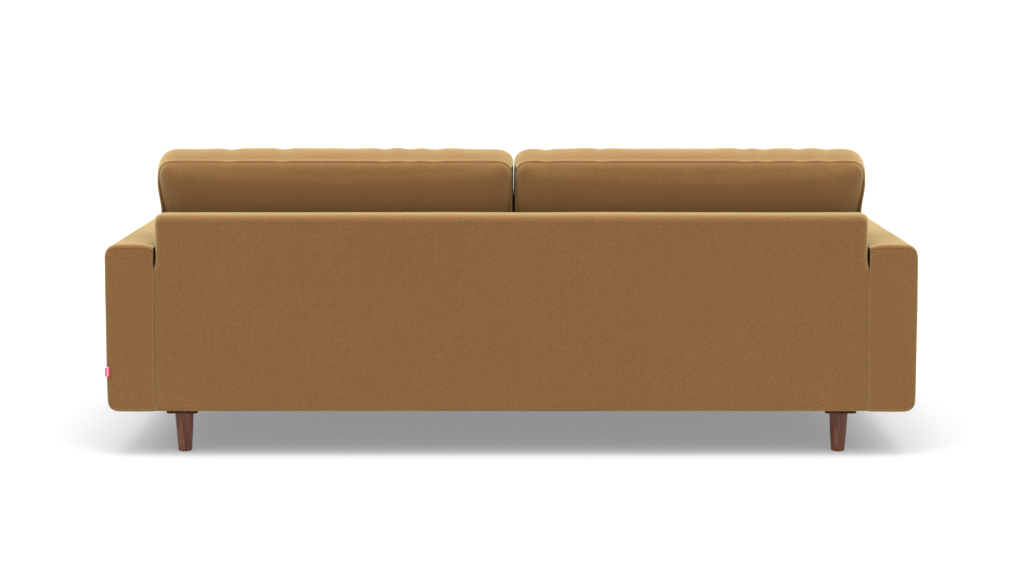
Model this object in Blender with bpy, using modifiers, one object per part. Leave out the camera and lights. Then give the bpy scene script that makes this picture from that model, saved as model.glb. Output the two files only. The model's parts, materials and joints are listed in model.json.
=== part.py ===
"""A three-seat sofa with turned wooden legs, modelled as the pieces it comes apart into.

Units are metres and +Z is up. The origin is on the floor under the middle of the sofa. The
front faces -Y, the back faces +Y, and the sitter's left hand is at +X.
"""

import math

import bmesh
import bpy
from mathutils import Matrix, Vector

# Driving dimensions of the whole sofa
HALF_WIDTH = 1.1685
HALF_DEPTH = 0.457
BODY_BOTTOM = 0.134
ARM_TOP = 0.622
ARM_WIDTH = 0.140
BACK_TOP = 0.711
CUSHION_TOP = 0.885
LEG_X = 0.9655
LEG_Y = 0.372
GAP = 0.0003
EASED_EDGE = 0.002
FABRIC_GAP = 0.001

# The space between the arms
ARM_INNER = HALF_WIDTH - ARM_WIDTH
INSIDE_HALF = ARM_INNER - FABRIC_GAP

# Upholstery shells
ARM_WALL = 0.012
BODY_WALL = 0.008
ARM_EDGE = 0.030
BODY_EDGE = 0.022
BACK_TOP_DEPTH = 0.083
BACK_FOOT_Y = 0.324
BACK_FOOT_Z = 0.300
BORDER_FRONT = -0.452
BORDER_REAR = -0.390
BORDER_TOP = 0.298

# Base frame
RAIL_THICK = 0.025
RAIL_TOP = 0.262
RAIL_BOTTOM = BODY_BOTTOM + GAP
FRONT_RAIL_Y = -0.437
REAR_RAIL_Y = 0.400
RAIL_HALF_LENGTH = 1.017
CENTRE_RAIL_TOP = 0.250
BLOCK_LEG = 0.170
BLOCK_HEIGHT = 0.040

# Arm frames
ARM_FRAME_IN = 1.047
ARM_FRAME_OUT = 1.150
ARM_FRAME_BOTTOM = 0.160
ARM_FRAME_Y = 0.438
POST_DEPTH = 0.038
ARM_RAIL_Z = 0.575
ARM_FRAME_TOP = 0.600
ARM_BOTTOM_RAIL_HEIGHT = 0.080
ARM_RIM = 0.036

# Back frame
UPRIGHT_Y = 0.384
UPRIGHT_DEPTH = 0.0155
BACK_RAIL_Z = 0.656
BACK_RAIL_TOP = 0.690
BACK_RAIL_HALF = 1.000
BACK_RAIL_DEPTH = 0.046
POST_INNER = 0.965
POST_OUTER = 1.015
CENTRE_POST_HALF = 0.030
WEB_THICK = 0.0025
WEB_LACE = 0.0005
WEB_BANDS = ((0.380, 0.440), (0.530, 0.590))
WEB_HALF_LENGTH = 1.010
HANGING_X = (-0.66, -0.33, 0.33, 0.66)
HANGING_HALF_WIDTH = 0.025
HANGING_FOOT = 0.330
HANGING_TOP = 0.684

# Feet
DUST_COVER_THICK = 0.0012
DUST_COVER_HALF_X = 1.130
DUST_COVER_HALF_Y = 0.436
PLATE_SIDE = 0.090
PLATE_THICK = 0.0117
LEG_TOP_RADIUS = 0.0258
LEG_FOOT_RADIUS = 0.0192
GLIDE_RADIUS = 0.0160
GLIDE_THICK = 0.003
PIN_RADIUS = 0.002
PIN_LENGTH = 0.014
BOLT_RADIUS = 0.004
BOLT_CLEARANCE = 0.0003
BOLT_LENGTH = 0.083
BOLT_IN_LEG = 0.035
BOLT_POINT = 0.001
PLATE_CORNER = 0.006
LEG_TOP_CHAMFER = 0.0015
LEG_FOOT_CHAMFER = 0.002
GLIDE_CHAMFER = 0.0007

# Seat springs
SPRING_X = (-0.84, -0.60, -0.36, -0.12, 0.12, 0.36, 0.60, 0.84)
SPRING_FRONT = -0.424
SPRING_REAR = 0.412
SPRING_Z = 0.2668
SPRING_CROWN = 0.016
SPRING_HALF_WIDTH = 0.026
SPRING_BENDS = 17
POINTS_PER_BEND = 4
WIRE_RADIUS = 0.0018
TIE_Y = (-0.140, 0.140)
CLIP_WIDTH = 0.019
CLIP_HEIGHT = 0.009
CLIP_WALL = 0.0015
CLIP_LENGTH = 2.0
TIE_OVERHANG = 0.040

# Seat deck
DECK_Z = 0.2905
DECK_THICK = 0.003
DECK_HALF = 1.002
DECK_FRONT = -0.388
DECK_REAR = 0.352

# Cushions
COVER_WALL = 0.0025
CORE_INSET = 0.0035
CUSHION_SIDE_GAP = 0.003
CUSHION_EDGE = 0.030
SEAT_BOTTOM = 0.300
SEAT_TOP = 0.456
SEAT_FRONT = -0.452
SEAT_REAR = 0.312
BACK_CUSHION_BOTTOM = 0.459
BACK_CUSHION_REAR = 0.337
BACK_CUSHION_LEAN = math.radians(7.0)
BACK_CUSHION_FOOT = 0.170
BACK_CUSHION_HEAD = 0.160

# Zips
TAPE_WIDTH = 0.0160
TAPE_THICK = 0.0010
TEETH_WIDTH = 0.0050
TAPE_SETBACK = 0.0010
SLIT_DEPTH = 0.020
SEAT_ZIP_HALF = 0.600
SEAT_ZIP_Z = 0.380
BACK_ZIP_HALF = 0.400
BACK_ZIP_UP = 0.045
SLIDER_LENGTH = 0.012
SLIDER_WIDTH = 0.009
SLIDER_THICK = 0.0030
SLIDER_EDGE = 0.0008
ZIP_END = 0.015
TAB_LENGTH = 0.022
TAB_WIDTH = 0.006
TAB_THICK = 0.0012

# Fabric tag in the seam of the left arm
TAG_X = 1.158
TAG_Z = 0.253
TAG_WIDTH = 0.014
TAG_HEIGHT = 0.029
TAG_THICK = 0.0012
TAG_CORNER = 0.003

SIDES = (("left", 1), ("right", -1))
ENDS = (("front", -1), ("rear", 1))


def clear_scene():
    for obj in list(bpy.data.objects):
        bpy.data.objects.remove(obj, do_unlink=True)


def new_collection(name):
    collection = bpy.data.collections.new(name)
    bpy.context.scene.collection.children.link(collection)
    return collection


def principled(name, colour, roughness, metallic=0.0):
    material = bpy.data.materials.new(name)
    material.use_nodes = True
    shader = material.node_tree.nodes["Principled BSDF"]
    shader.inputs["Base Color"].default_value = (*colour, 1.0)
    shader.inputs["Roughness"].default_value = roughness
    shader.inputs["Metallic"].default_value = metallic
    return material


def add_object(name, data, material, location=(0, 0, 0)):
    """One named piece in the sofa's collection."""
    obj = bpy.data.objects.new(name, data)
    obj.location = location
    data.materials.append(material)
    PARTS.objects.link(obj)
    return obj


def hidden_cutter(obj):
    PARTS.objects.unlink(obj)
    CUTTERS.objects.link(obj)
    obj.hide_render = True
    obj.display_type = "WIRE"
    return obj


def ride_on(obj, empty, where):
    """Parents obj to an empty that stands at `where`, and leaves obj in place."""
    obj.parent = empty
    obj.matrix_parent_inverse = Matrix.Translation(-Vector(where))


def slide_empty(name, where, parent=None, parent_where=None):
    empty = bpy.data.objects.new(name, None)
    empty.location = where
    empty.empty_display_size = 0.05
    PARTS.objects.link(empty)
    if parent:
        ride_on(empty, parent, parent_where)
    return empty


# Modifiers


def add_bevel(obj, width, segments=3):
    bevel = obj.modifiers.new("Rounded edges", "BEVEL")
    bevel.width = width
    bevel.segments = segments
    bevel.limit_method = "ANGLE"


def add_wall(obj, thickness):
    """Gives an open surface its wall, inwards from the surface."""
    wall = obj.modifiers.new("Wall", "SOLIDIFY")
    wall.thickness = thickness
    wall.offset = -1
    wall.use_even_offset = True


def add_boolean(obj, other, operation):
    boolean = obj.modifiers.new(operation.title(), "BOOLEAN")
    boolean.operation = operation
    boolean.object = other


# Shapes


def cube_mesh(low, high):
    """A box centred on its own origin, and the place where that origin belongs."""
    low = Vector(low)
    high = Vector(high)
    shape = bmesh.new()
    bmesh.ops.create_cube(shape, size=1)
    bmesh.ops.scale(shape, vec=high - low, verts=shape.verts)
    return shape, (low + high) / 2


def finish_mesh(name, shape, material, location):
    mesh = bpy.data.meshes.new(name)
    shape.to_mesh(mesh)
    shape.free()
    return add_object(name, mesh, material, location)


def box(name, low, high, material, bevel=0.0):
    shape, centre = cube_mesh(low, high)
    obj = finish_mesh(name, shape, material, centre)
    if bevel:
        add_bevel(obj, bevel, 1)
    return obj


def face_towards(shape, direction):
    """The box's face that points along direction."""
    shape.normal_update()
    return max(shape.faces, key=lambda face: face.normal.dot(Vector(direction)))


def remove_faces(shape, faces):
    bmesh.ops.delete(shape, geom=faces, context="FACES")


def rotated(rotation, tilt=0.0):
    """A rotation followed by a lean about the X axis."""
    return (Matrix.Rotation(tilt, 3, "X") @ rotation).to_euler()


# Turns an outline so that its own X and Y become world Y and Z, and its depth runs along X.
ALONG_X = Matrix(((0, 0, 1), (1, 0, 0), (0, 1, 0)))
FLAT = Matrix.Identity(3)
# Turns an outline so that its own X and Y become world -X and Z, facing +Y.
FACING_REAR = Matrix(((-1, 0, 0), (0, 0, 1), (0, 1, 0)))


def extruded(name, outlines, depth, location, material, rotation=FLAT, tilt=0.0):
    """A flat outline, with any further outlines cut out of it as holes, given a depth."""
    curve = bpy.data.curves.new(name, "CURVE")
    curve.dimensions = "2D"
    curve.fill_mode = "BOTH"
    curve.extrude = depth / 2
    for outline in outlines:
        spline = curve.splines.new("POLY")
        spline.points.add(len(outline) - 1)
        for point, (x, y) in zip(spline.points, outline):
            point.co = (x, y, 0, 1)
        spline.use_cyclic_u = True
    obj = add_object(name, curve, material, location)
    obj.rotation_euler = rotated(rotation, tilt)
    return obj


def circle(centre, radius, count=16):
    turns = [2 * math.pi * i / count for i in range(count)]
    return [(centre[0] + radius * math.cos(t), centre[1] + radius * math.sin(t)) for t in turns]


def rectangle(half_x, half_y, centre=(0, 0)):
    corners = ((-1, -1), (1, -1), (1, 1), (-1, 1))
    return [(centre[0] + sx * half_x, centre[1] + sy * half_y) for sx, sy in corners]


def rounded_square(side, radius, steps=4):
    points = []
    for quarter in range(4):
        for step in range(steps + 1):
            turn = math.pi / 2 * (quarter + step / steps)
            sx = 1 if quarter in (0, 3) else -1
            sy = 1 if quarter in (0, 1) else -1
            inset = side / 2 - radius
            points.append((sx * inset + radius * math.cos(turn), sy * inset + radius * math.sin(turn)))
    return points


def turned(name, profile, location, material, steps=32):
    """A profile of (radius, height) pairs spun about the vertical."""
    shape = bmesh.new()
    verts = [shape.verts.new((radius, 0, height)) for radius, height in profile]
    for first, second in zip(verts, verts[1:]):
        shape.edges.new((first, second))
    obj = finish_mesh(name, shape, material, location)
    screw = obj.modifiers.new("Turning", "SCREW")
    screw.steps = steps
    screw.render_steps = steps
    screw.use_merge_vertices = True
    screw.merge_threshold = 0.00001
    screw.use_smooth_shade = False
    return obj


def wire(name, points, radius, material):
    """A square-sectioned stand-in for a drawn wire, cheap enough for long runs."""
    curve = bpy.data.curves.new(name, "CURVE")
    curve.dimensions = "3D"
    curve.bevel_depth = radius
    curve.bevel_resolution = 0
    curve.use_fill_caps = True
    spline = curve.splines.new("POLY")
    spline.points.add(len(points) - 1)
    for point, place in zip(spline.points, points):
        point.co = (*place, 1)
    return add_object(name, curve, material)


def as_mesh(obj):
    """Turns a curve into a welded mesh object of the same name, so that it takes a Boolean."""
    graph = bpy.context.evaluated_depsgraph_get()
    mesh = bpy.data.meshes.new_from_object(obj.evaluated_get(graph))
    shape = bmesh.new()
    shape.from_mesh(mesh)
    bmesh.ops.remove_doubles(shape, verts=shape.verts, dist=0.000001)
    bmesh.ops.recalc_face_normals(shape, faces=shape.faces)
    shape.to_mesh(mesh)
    shape.free()
    name = obj.name
    world = obj.matrix_world.copy()
    bpy.data.objects.remove(obj, do_unlink=True)
    made = bpy.data.objects.new(name, mesh)
    made.matrix_world = world
    PARTS.objects.link(made)
    return made


# Base frame


def make_base_frame(timber):
    half = RAIL_HALF_LENGTH
    front_back = FRONT_RAIL_Y + RAIL_THICK + GAP
    rear_front = REAR_RAIL_Y - GAP
    box(
        "base_front_rail",
        (-half, FRONT_RAIL_Y, RAIL_BOTTOM),
        (half, FRONT_RAIL_Y + RAIL_THICK, RAIL_TOP),
        timber,
        EASED_EDGE,
    )
    box(
        "base_rear_rail",
        (-half, REAR_RAIL_Y, RAIL_BOTTOM),
        (half, REAR_RAIL_Y + RAIL_THICK, RAIL_TOP),
        timber,
        EASED_EDGE,
    )
    for side, sign in SIDES:
        ends = sorted((sign * half, sign * (half - RAIL_THICK)))
        box(
            f"base_end_rail_{side}",
            (ends[0], front_back, RAIL_BOTTOM),
            (ends[1], rear_front, RAIL_TOP),
            timber,
            EASED_EDGE,
        )
    box(
        "base_centre_rail",
        (-RAIL_THICK / 2, front_back, RAIL_BOTTOM),
        (RAIL_THICK / 2, UPRIGHT_Y - 2 * GAP, CENTRE_RAIL_TOP),
        timber,
        EASED_EDGE,
    )


def make_corner_blocks(timber):
    """Triangular glue blocks in the corners of the base, each bored for a leg bolt."""
    corner_x = RAIL_HALF_LENGTH - RAIL_THICK - GAP
    hole = BOLT_RADIUS + BOLT_CLEARANCE
    for side, sx in SIDES:
        for end, sy in ENDS:
            rail_face = REAR_RAIL_Y if end == "rear" else -(FRONT_RAIL_Y + RAIL_THICK)
            corner_y = rail_face - 2 * GAP
            corner = (sx * corner_x, sy * corner_y)
            outline = [
                corner,
                (sx * (corner_x - BLOCK_LEG), sy * corner_y),
                (sx * corner_x, sy * (corner_y - BLOCK_LEG)),
            ]
            bore = circle((sx * LEG_X, sy * LEG_Y), hole)
            height = RAIL_BOTTOM + BLOCK_HEIGHT / 2
            extruded(f"corner_block_{end}_{side}", [outline, bore], BLOCK_HEIGHT, (0, 0, height), timber)


# Feet


def make_feet(walnut, steel, nylon):
    """At each corner: a plate, a turned leg, the bolt that joins them, and a nail-on glide."""
    hole = BOLT_RADIUS + BOLT_CLEARANCE
    plate_top = BODY_BOTTOM - DUST_COVER_THICK - 2 * GAP
    plate_bottom = plate_top - PLATE_THICK
    leg_top = plate_bottom - GAP
    leg_bottom = GLIDE_THICK + GAP
    bolt_bottom = leg_top - BOLT_IN_LEG
    pin_hole = PIN_RADIUS + GAP
    pin_top = leg_bottom + PIN_LENGTH + GAP
    leg_profile = [
        (0, bolt_bottom - GAP),
        (hole, bolt_bottom - GAP),
        (hole, leg_top),
        (LEG_TOP_RADIUS - LEG_TOP_CHAMFER, leg_top),
        (LEG_TOP_RADIUS, leg_top - LEG_TOP_CHAMFER),
        (LEG_FOOT_RADIUS, leg_bottom + LEG_FOOT_CHAMFER),
        (LEG_FOOT_RADIUS - LEG_FOOT_CHAMFER, leg_bottom),
        (pin_hole, leg_bottom),
        (pin_hole, pin_top),
        (0, pin_top),
    ]
    bolt_top = bolt_bottom + BOLT_LENGTH
    bolt_profile = [
        (0, bolt_top),
        (BOLT_RADIUS - BOLT_POINT, bolt_top),
        (BOLT_RADIUS, bolt_top - BOLT_POINT),
        (BOLT_RADIUS, bolt_bottom + BOLT_POINT),
        (BOLT_RADIUS - BOLT_POINT, bolt_bottom),
        (0, bolt_bottom),
    ]
    glide_profile = [
        (0, pin_top - GAP),
        (PIN_RADIUS, pin_top - GAP),
        (PIN_RADIUS, GLIDE_THICK),
        (GLIDE_RADIUS - GLIDE_CHAMFER, GLIDE_THICK),
        (GLIDE_RADIUS, GLIDE_THICK - GLIDE_CHAMFER),
        (GLIDE_RADIUS, GLIDE_CHAMFER),
        (GLIDE_RADIUS - GLIDE_CHAMFER, 0),
        (0, 0),
    ]
    for side, sx in SIDES:
        for end, sy in ENDS:
            name = f"{end}_{side}"
            place = (sx * LEG_X, sy * LEG_Y, 0)
            outlines = [rounded_square(PLATE_SIDE, PLATE_CORNER), circle((0, 0), hole)]
            height = (plate_top + plate_bottom) / 2
            plate_place = (place[0], place[1], height)
            extruded(f"leg_plate_{name}", outlines, PLATE_THICK, plate_place, walnut)
            turned(f"leg_{name}", leg_profile, place, walnut)
            turned(f"leg_bolt_{name}", bolt_profile, place, steel, 12)
            turned(f"leg_glide_{name}", glide_profile, place, nylon, 24)


# Arms


def make_arm(side, sign, timber, fabric):
    """A framed box arm: two posts and two rails inside a padded fabric cover."""
    across = sorted((sign * ARM_FRAME_IN, sign * ARM_FRAME_OUT))
    post_depth = ARM_FRAME_Y - POST_DEPTH
    for end, sy in ENDS:
        along = sorted((sy * ARM_FRAME_Y, sy * post_depth))
        box(
            f"arm_{end}_post_{side}",
            (across[0], along[0], ARM_FRAME_BOTTOM),
            (across[1], along[1], ARM_RAIL_Z - GAP),
            timber,
            EASED_EDGE,
        )
    box(
        f"arm_top_rail_{side}",
        (across[0], -ARM_FRAME_Y, ARM_RAIL_Z),
        (across[1], ARM_FRAME_Y, ARM_FRAME_TOP),
        timber,
        EASED_EDGE,
    )
    inner = sorted((sign * ARM_FRAME_IN, sign * (ARM_FRAME_IN + RAIL_THICK)))
    box(
        f"arm_bottom_rail_{side}",
        (inner[0], -(post_depth - GAP), ARM_FRAME_BOTTOM),
        (inner[1], post_depth - GAP, ARM_FRAME_BOTTOM + ARM_BOTTOM_RAIL_HEIGHT),
        timber,
        EASED_EDGE,
    )
    ends = sorted((sign * ARM_INNER, sign * HALF_WIDTH))
    low = (ends[0], -HALF_DEPTH, BODY_BOTTOM)
    high = (ends[1], HALF_DEPTH, ARM_TOP)
    shape, centre = cube_mesh(low, high)
    bottom = face_towards(shape, (0, 0, -1))
    bmesh.ops.inset_region(shape, faces=[bottom], thickness=ARM_RIM, use_even_offset=True)
    remove_faces(shape, [bottom])
    cover = finish_mesh(f"arm_cover_{side}", shape, fabric, centre)
    add_bevel(cover, ARM_EDGE)
    add_wall(cover, ARM_WALL)


# Back


def make_back(timber, webbing, fabric):
    """Plywood uprights and a top rail, webbed across and covered front and rear."""
    upright_rear = UPRIGHT_Y + UPRIGHT_DEPTH
    upright_top = BACK_RAIL_Z - GAP
    for side, sign in SIDES:
        across = sorted((sign * POST_INNER, sign * POST_OUTER))
        box(
            f"back_post_{side}",
            (across[0], UPRIGHT_Y, RAIL_TOP + GAP),
            (across[1], upright_rear, upright_top),
            timber,
            EASED_EDGE,
        )
    box(
        "back_post_centre",
        (-CENTRE_POST_HALF, UPRIGHT_Y, RAIL_BOTTOM),
        (CENTRE_POST_HALF, upright_rear, upright_top),
        timber,
        EASED_EDGE,
    )
    box(
        "back_top_rail",
        (-BACK_RAIL_HALF, UPRIGHT_Y, BACK_RAIL_Z),
        (BACK_RAIL_HALF, UPRIGHT_Y + BACK_RAIL_DEPTH, BACK_RAIL_TOP),
        timber,
        EASED_EDGE,
    )
    make_webbing(webbing)

    shape, centre = cube_mesh((-INSIDE_HALF, 0, 0), (INSIDE_HALF, 1, 1))
    bottom = face_towards(shape, (0, 0, -1))
    for vert in shape.verts:
        rear = vert.co.y > 0
        top = vert.co.z > 0
        inside_y = HALF_DEPTH - BACK_TOP_DEPTH if top else BACK_FOOT_Y
        vert.co.y = (HALF_DEPTH if rear else inside_y) - centre.y
        foot_z = BODY_BOTTOM if rear else BACK_FOOT_Z
        vert.co.z = (BACK_TOP if top else foot_z) - centre.z
    remove_faces(shape, [bottom])
    cover = finish_mesh("back_cover", shape, fabric, centre)
    add_bevel(cover, BODY_EDGE)
    add_wall(cover, BODY_WALL)


def make_webbing(material):
    """Two bands of elastic webbing across the uprights, laced with four hung from the top rail."""
    front = UPRIGHT_Y - GAP - WEB_THICK
    rear = UPRIGHT_Y - GAP
    bands = []
    for name, (foot, head) in zip(("back_webbing", "upper_band"), WEB_BANDS):
        low = (-WEB_HALF_LENGTH, front, foot)
        high = (WEB_HALF_LENGTH, rear, head)
        bands.append(box(name, low, high, material))
    for x in HANGING_X:
        low = (x - HANGING_HALF_WIDTH, front - WEB_LACE, HANGING_FOOT)
        high = (x + HANGING_HALF_WIDTH, rear - WEB_LACE, HANGING_TOP)
        bands.append(box("hanging_band", low, high, material))
    lattice = bands[0]
    for band in bands[1:]:
        add_boolean(lattice, hidden_cutter(band), "UNION")


# Seat platform


def make_front_border(fabric):
    low = (-INSIDE_HALF, BORDER_FRONT, BODY_BOTTOM)
    high = (INSIDE_HALF, BORDER_REAR, BORDER_TOP)
    shape, centre = cube_mesh(low, high)
    rear = face_towards(shape, (0, 1, 0))
    bottom = face_towards(shape, (0, 0, -1))
    remove_faces(shape, [rear, bottom])
    border = finish_mesh("front_border", shape, fabric, centre)
    add_bevel(border, BODY_EDGE)
    add_wall(border, BODY_WALL)


def spring_points(x):
    """A sinuous spring from front to rear, crowned along its length."""
    count = SPRING_BENDS * POINTS_PER_BEND
    points = []
    for i in range(count + 1):
        along = i / count
        swing = math.sin(math.pi * SPRING_BENDS * along)
        rise = SPRING_CROWN * math.sin(math.pi * along)
        y = SPRING_FRONT + (SPRING_REAR - SPRING_FRONT) * along
        points.append((x + SPRING_HALF_WIDTH * swing, y, SPRING_Z + rise))
    return points


def make_springs(steel):
    """Eight sinuous springs held in line by two cross wires, as one sprung platform."""
    unit = None
    for x in SPRING_X:
        spring = as_mesh(wire(f"spring_{x:+.2f}", spring_points(x), WIRE_RADIUS, steel))
        if unit is None:
            unit = spring
            unit.name = "seat_spring_unit"
        else:
            add_boolean(unit, hidden_cutter(spring), "UNION")
    for y in TIE_Y:
        along = (y - SPRING_FRONT) / (SPRING_REAR - SPRING_FRONT)
        z = SPRING_Z + SPRING_CROWN * math.sin(math.pi * along) + WIRE_RADIUS
        ends = [(SPRING_X[0] - TIE_OVERHANG, y, z), (SPRING_X[-1] + TIE_OVERHANG, y, z)]
        tie = as_mesh(wire("tie_wire", ends, WIRE_RADIUS, steel))
        add_boolean(unit, hidden_cutter(tie), "UNION")


def make_spring_clips(nylon):
    """Channel strips on the front and rear rails that hold the spring ends."""
    half = CLIP_HEIGHT / 2
    for end, sign in ENDS:
        rail = FRONT_RAIL_Y + RAIL_THICK / 2 if end == "front" else REAR_RAIL_Y + RAIL_THICK / 2
        back = sign * CLIP_WIDTH / 2
        mouth = -back
        inner = back - sign * CLIP_WALL
        outline = [
            (mouth, -half),
            (back, -half),
            (back, half),
            (mouth, half),
            (mouth, half - CLIP_WALL),
            (inner, half - CLIP_WALL),
            (inner, -half + CLIP_WALL),
            (mouth, -half + CLIP_WALL),
        ]
        place = (0, rail, RAIL_TOP + GAP + half)
        extruded(f"spring_clip_rail_{end}", [outline], CLIP_LENGTH, place, nylon, ALONG_X)


def make_platform_cloths(deck_cloth, dust_cloth):
    box(
        "seat_deck",
        (-DECK_HALF, DECK_FRONT, DECK_Z),
        (DECK_HALF, DECK_REAR, DECK_Z + DECK_THICK),
        deck_cloth,
    )
    hole = BOLT_RADIUS + BOLT_CLEARANCE
    outlines = [rectangle(DUST_COVER_HALF_X, DUST_COVER_HALF_Y)]
    for _, sx in SIDES:
        for _, sy in ENDS:
            outlines.append(circle((sx * LEG_X, sy * LEG_Y), hole))
    height = BODY_BOTTOM - GAP - DUST_COVER_THICK / 2
    extruded("dust_cover", outlines, DUST_COVER_THICK, (0, 0, height), dust_cloth)


def make_tag(cloth):
    """A folded cloth tag sewn into the rear seam of the left arm."""
    half_w = TAG_WIDTH / 2
    half_h = TAG_HEIGHT / 2
    outline = [
        (half_w, -half_h),
        (half_w, half_h),
        (-half_w + TAG_CORNER, half_h),
        (-half_w, half_h - TAG_CORNER),
        (-half_w, -half_h + TAG_CORNER),
        (-half_w + TAG_CORNER, -half_h),
    ]
    place = (TAG_X, HALF_DEPTH + GAP + TAG_THICK / 2, TAG_Z)
    extruded("label_tag", [outline], TAG_THICK, place, cloth, FACING_REAR)


# Cushions


def cushion_block(name, low, high, inset, edge, material, lean=None):
    """A box with rounded edges, shrunk by inset, whose sides lean(z) may move front to rear."""
    low = Vector(low) + Vector((inset, inset, inset))
    high = Vector(high) - Vector((inset, inset, inset))
    shape, centre = cube_mesh(low, high)
    if lean:
        for vert in shape.verts:
            front, rear = lean(vert.co.z + centre.z)
            vert.co.y = (rear - inset if vert.co.y > 0 else front + inset) - centre.y
    block = finish_mesh(name, shape, material, centre)
    add_bevel(block, edge - inset)
    return block


def make_zip(name, centre, half_length, tilt, tape_material, metal):
    """A zip seen from outside: its tape with the teeth along it, and the slider beside the face."""
    outward = Vector((0, math.cos(tilt), math.sin(tilt)))
    half = TAPE_WIDTH / 2
    teeth = TEETH_WIDTH / 2
    tape_face = -TAPE_SETBACK
    outline = [
        (tape_face - TAPE_THICK, -half),
        (tape_face, -half),
        (tape_face, -teeth),
        (0, -teeth),
        (0, teeth),
        (tape_face, teeth),
        (tape_face, half),
        (tape_face - TAPE_THICK, half),
    ]
    depth = 2 * half_length
    tape = extruded(f"{name}_zip", [outline], depth, centre, tape_material, ALONG_X, tilt)

    run = half_length - ZIP_END
    place = Vector(centre) + outward * (GAP + SLIDER_THICK / 2)
    place.x += run
    shape, _ = cube_mesh((0, 0, 0), (SLIDER_LENGTH, SLIDER_THICK, SLIDER_WIDTH))
    slider = finish_mesh(f"{name}_zip_slider", shape, metal, place)
    slider.rotation_euler = (tilt, 0, 0)
    add_bevel(slider, SLIDER_EDGE, 1)
    shape, _ = cube_mesh((0, 0, 0), (TAB_WIDTH, TAB_THICK, TAB_LENGTH))
    bmesh.ops.translate(shape, verts=shape.verts, vec=(0, 0, -TAB_LENGTH / 2))
    tab = finish_mesh("zip_tab", shape, metal, place)
    tab.rotation_euler = (tilt, 0, 0)
    add_boolean(slider, hidden_cutter(tab), "UNION")
    return tape, slider, place


def make_cushion(name, low, high, zip_spec, materials, empty, where, lean=None):
    """A zipped cover with its filling, on the empty that lifts it off."""
    zip_centre, zip_half, tilt = zip_spec
    cover = cushion_block(f"{name}_cover", low, high, 0, CUSHION_EDGE, materials["fabric"], lean)
    add_wall(cover, COVER_WALL)
    slit_half = TAPE_WIDTH / 2 + GAP
    shape, _ = cube_mesh((0, 0, 0), (2 * (zip_half + GAP), SLIT_DEPTH, 2 * slit_half))
    slit = finish_mesh(f"{name}_slit", shape, materials["fabric"], zip_centre)
    slit.rotation_euler = (tilt, 0, 0)
    add_boolean(cover, hidden_cutter(slit), "DIFFERENCE")
    core = cushion_block(
        f"{name}_core", low, high, CORE_INSET, CUSHION_EDGE, materials["foam"], lean
    )
    tape, slider, slider_place = make_zip(
        name, zip_centre, zip_half, tilt, materials["tape"], materials["zip_metal"]
    )
    for piece in (cover, core, tape):
        ride_on(piece, empty, where)
    slider_empty = slide_empty(f"{name}_zip_run", slider_place, empty, where)
    ride_on(slider, slider_empty, slider_place)


def back_cushion_sides(z):
    """Front and rear faces of a back cushion at height z: it leans back and thins upwards."""
    up = (z - BACK_CUSHION_BOTTOM) / (CUSHION_TOP - BACK_CUSHION_BOTTOM)
    rear = BACK_CUSHION_REAR + math.tan(BACK_CUSHION_LEAN) * (z - BACK_CUSHION_BOTTOM)
    thickness = BACK_CUSHION_FOOT + (BACK_CUSHION_HEAD - BACK_CUSHION_FOOT) * up
    return rear - thickness, rear


def make_cushions(materials):
    half = ARM_INNER - CUSHION_SIDE_GAP
    seat_where = (0, 0, SEAT_BOTTOM)
    seat_lift = slide_empty("seat_cushion_lift", seat_where)
    zip_spec = ((0, SEAT_REAR, SEAT_ZIP_Z), SEAT_ZIP_HALF, 0.0)
    low = (-half, SEAT_FRONT, SEAT_BOTTOM)
    high = (half, SEAT_REAR, SEAT_TOP)
    make_cushion("seat_cushion", low, high, zip_spec, materials, seat_lift, seat_where)

    for side, sign in SIDES:
        across = sorted((sign * CUSHION_SIDE_GAP, sign * half))
        middle = sum(across) / 2
        where = (middle, BACK_CUSHION_REAR, BACK_CUSHION_BOTTOM)
        lift = slide_empty(f"back_cushion_{side}_lift", where, seat_lift, seat_where)
        zip_z = BACK_CUSHION_BOTTOM + BACK_ZIP_UP
        zip_centre = (middle, back_cushion_sides(zip_z)[1], zip_z)
        zip_spec = (zip_centre, BACK_ZIP_HALF, -BACK_CUSHION_LEAN)
        low = (across[0], 0, BACK_CUSHION_BOTTOM)
        high = (across[1], 1, CUSHION_TOP)
        name = f"back_cushion_{side}"
        make_cushion(name, low, high, zip_spec, materials, lift, where, back_cushion_sides)


def shade_round_pieces():
    for obj in PARTS.objects:
        if obj.type == "MESH" and obj.name.startswith(("leg_", "seat_spring")):
            obj.data.shade_smooth()
            obj.data.set_sharp_from_angle(angle=math.radians(30))


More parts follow.
